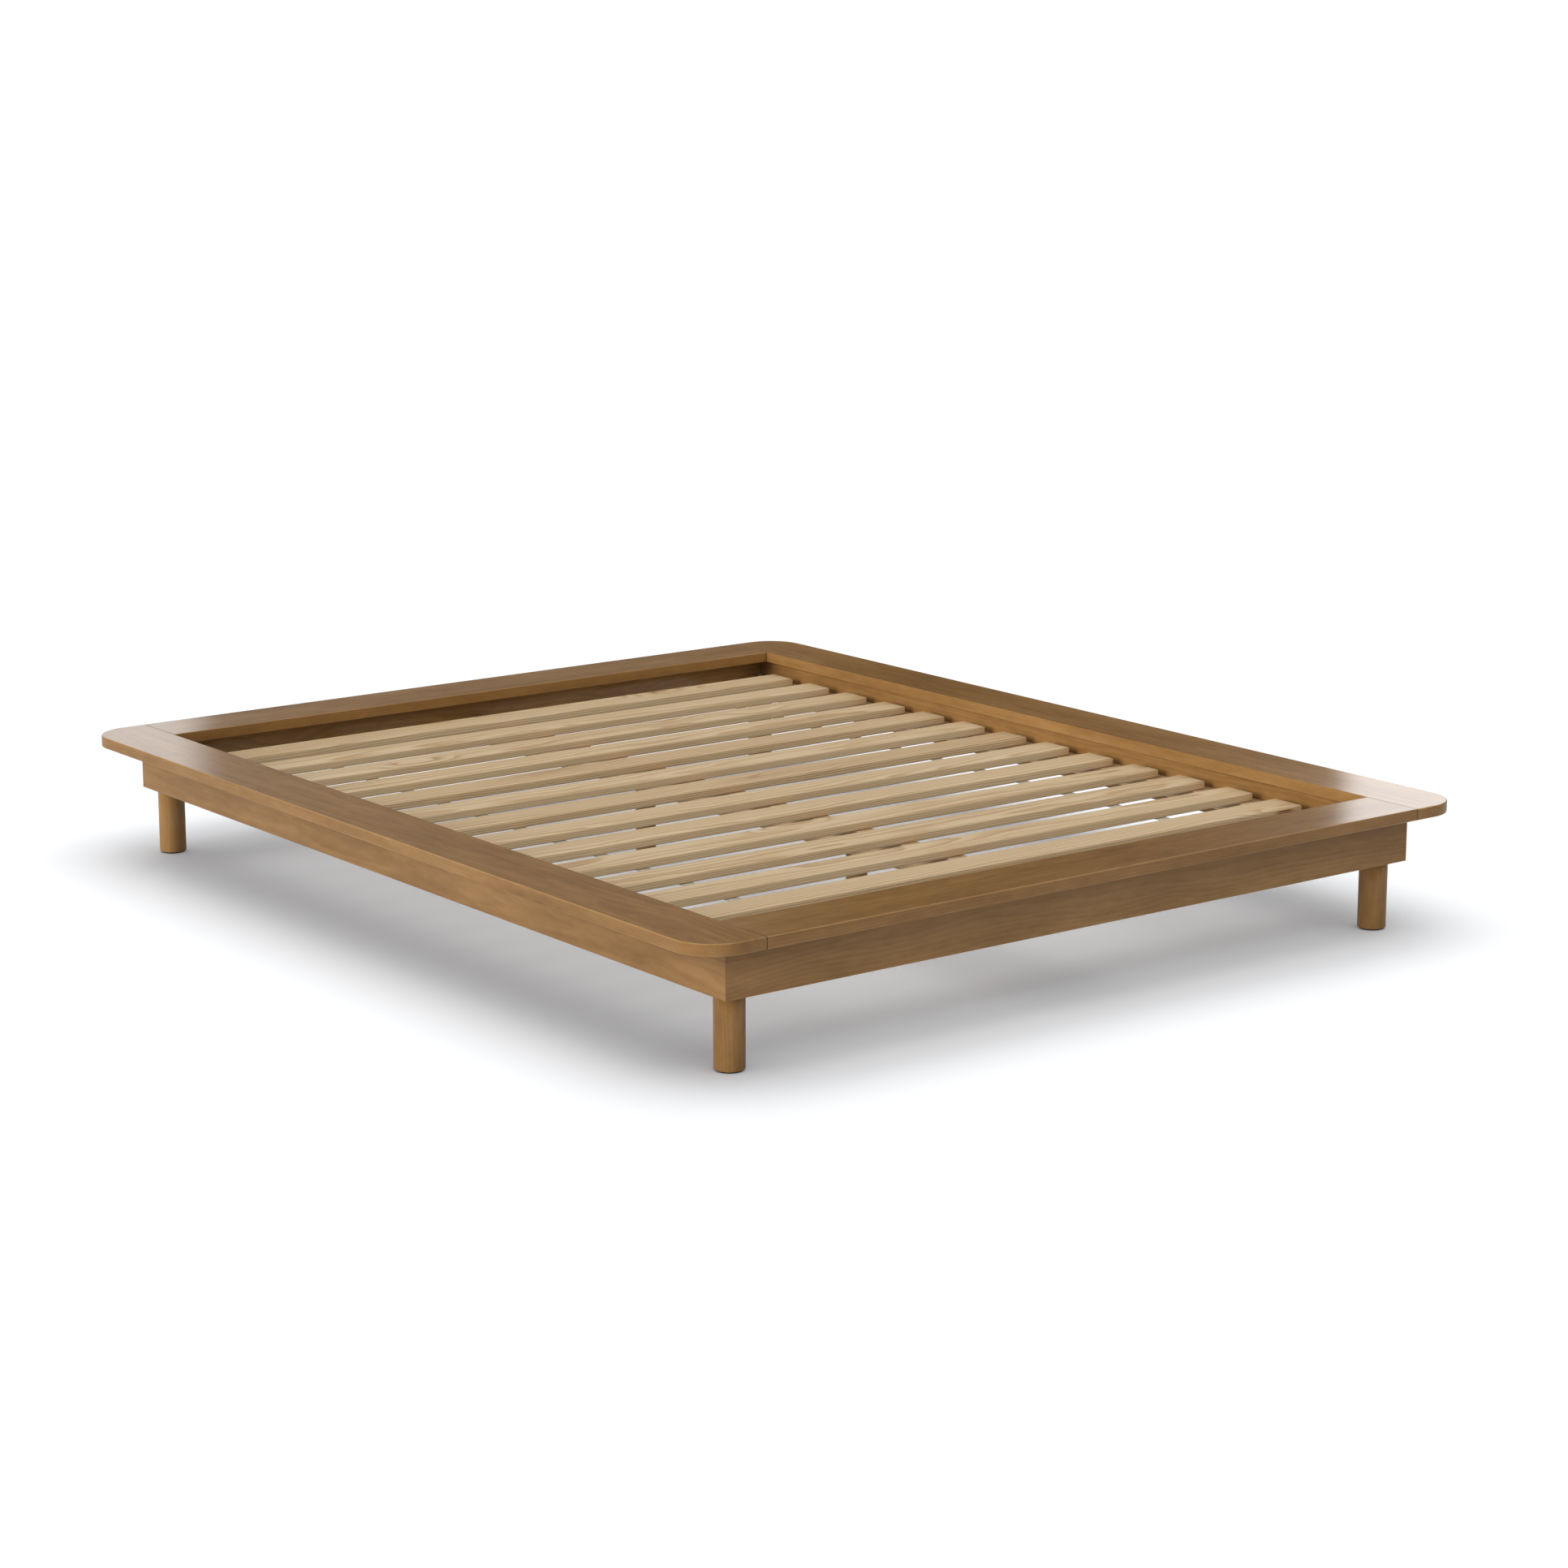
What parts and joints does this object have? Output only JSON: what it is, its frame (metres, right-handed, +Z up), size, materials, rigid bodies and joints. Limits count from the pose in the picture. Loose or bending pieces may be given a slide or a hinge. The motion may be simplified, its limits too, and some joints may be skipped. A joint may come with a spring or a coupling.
{
  "type": "platform bed frame",
  "caption": "Low wooden platform bed frame: a wide ledge with rounded corners round a mattress recess, a set-back apron, round legs and loose slats.",
  "frame": {"origin": "on the floor, under the middle of the frame", "axes": "+X to the right of someone standing at the foot, +Y from the foot to the head, +Z up"},
  "size_m": [1.94, 2.34, 0.2726],
  "materials": {
    "lacquered_wood": "warm honey-brown hardwood, fine straight grain, satin lacquer",
    "plain_wood": "planed pale wood, unlacquered",
    "slat_wood": "planed pale softwood, unlacquered",
    "bolt_steel": "zinc-plated steel",
    "hanger_steel": "galvanised folded sheet steel",
    "glide": "dark matt glide",
    "webbing": "undyed woven cotton tape"
  },
  "bodies": {
    "root": {"side_ledge_left": "lacquered_wood", "side_ledge_right": "lacquered_wood", "foot_ledge": "lacquered_wood", "head_ledge": "lacquered_wood", "side_rail_left": "lacquered_wood", "side_rail_right": "lacquered_wood", "foot_rail": "lacquered_wood", "head_rail": "lacquered_wood", "corner_block_foot_left": "plain_wood", "corner_bolt_foot_left_side": "bolt_steel", "corner_bolt_foot_left_end": "bolt_steel", "leg_foot_left": "lacquered_wood", "leg_bolt_foot_left": "bolt_steel", "glide_foot_left": "glide", "corner_block_foot_right": "plain_wood", "corner_bolt_foot_right_side": "bolt_steel", "corner_bolt_foot_right_end": "bolt_steel", "leg_foot_right": "lacquered_wood", "leg_bolt_foot_right": "bolt_steel", "glide_foot_right": "glide", "corner_block_head_left": "plain_wood", "corner_bolt_head_left_side": "bolt_steel", "corner_bolt_head_left_end": "bolt_steel", "leg_head_left": "lacquered_wood", "leg_bolt_head_left": "bolt_steel", "glide_head_left": "glide", "corner_block_head_right": "plain_wood", "corner_bolt_head_right_side": "bolt_steel", "corner_bolt_head_right_end": "bolt_steel", "leg_head_right": "lacquered_wood", "leg_bolt_head_right": "bolt_steel", "glide_head_right": "glide", "slat_cleat_left": "plain_wood", "slat_cleat_right": "plain_wood", "centre_beam": "plain_wood", "beam_hanger_foot": "hanger_steel", "beam_hanger_head": "hanger_steel", "centre_leg_foot": "lacquered_wood", "centre_leg_bolt_foot": "bolt_steel", "glide_centre_foot": "glide", "centre_leg_head": "lacquered_wood", "centre_leg_bolt_head": "bolt_steel", "glide_centre_head": "glide", "slat_01": "slat_wood", "slat_02": "slat_wood", "slat_03": "slat_wood", "slat_04": "slat_wood", "slat_05": "slat_wood", "slat_06": "slat_wood", "slat_07": "slat_wood", "slat_08": "slat_wood", "slat_09": "slat_wood", "slat_10": "slat_wood", "slat_11": "slat_wood", "slat_12": "slat_wood", "slat_13": "slat_wood", "slat_14": "slat_wood", "slat_tape_left": "webbing", "slat_tape_right": "webbing"}
  },
  "joints": []
}
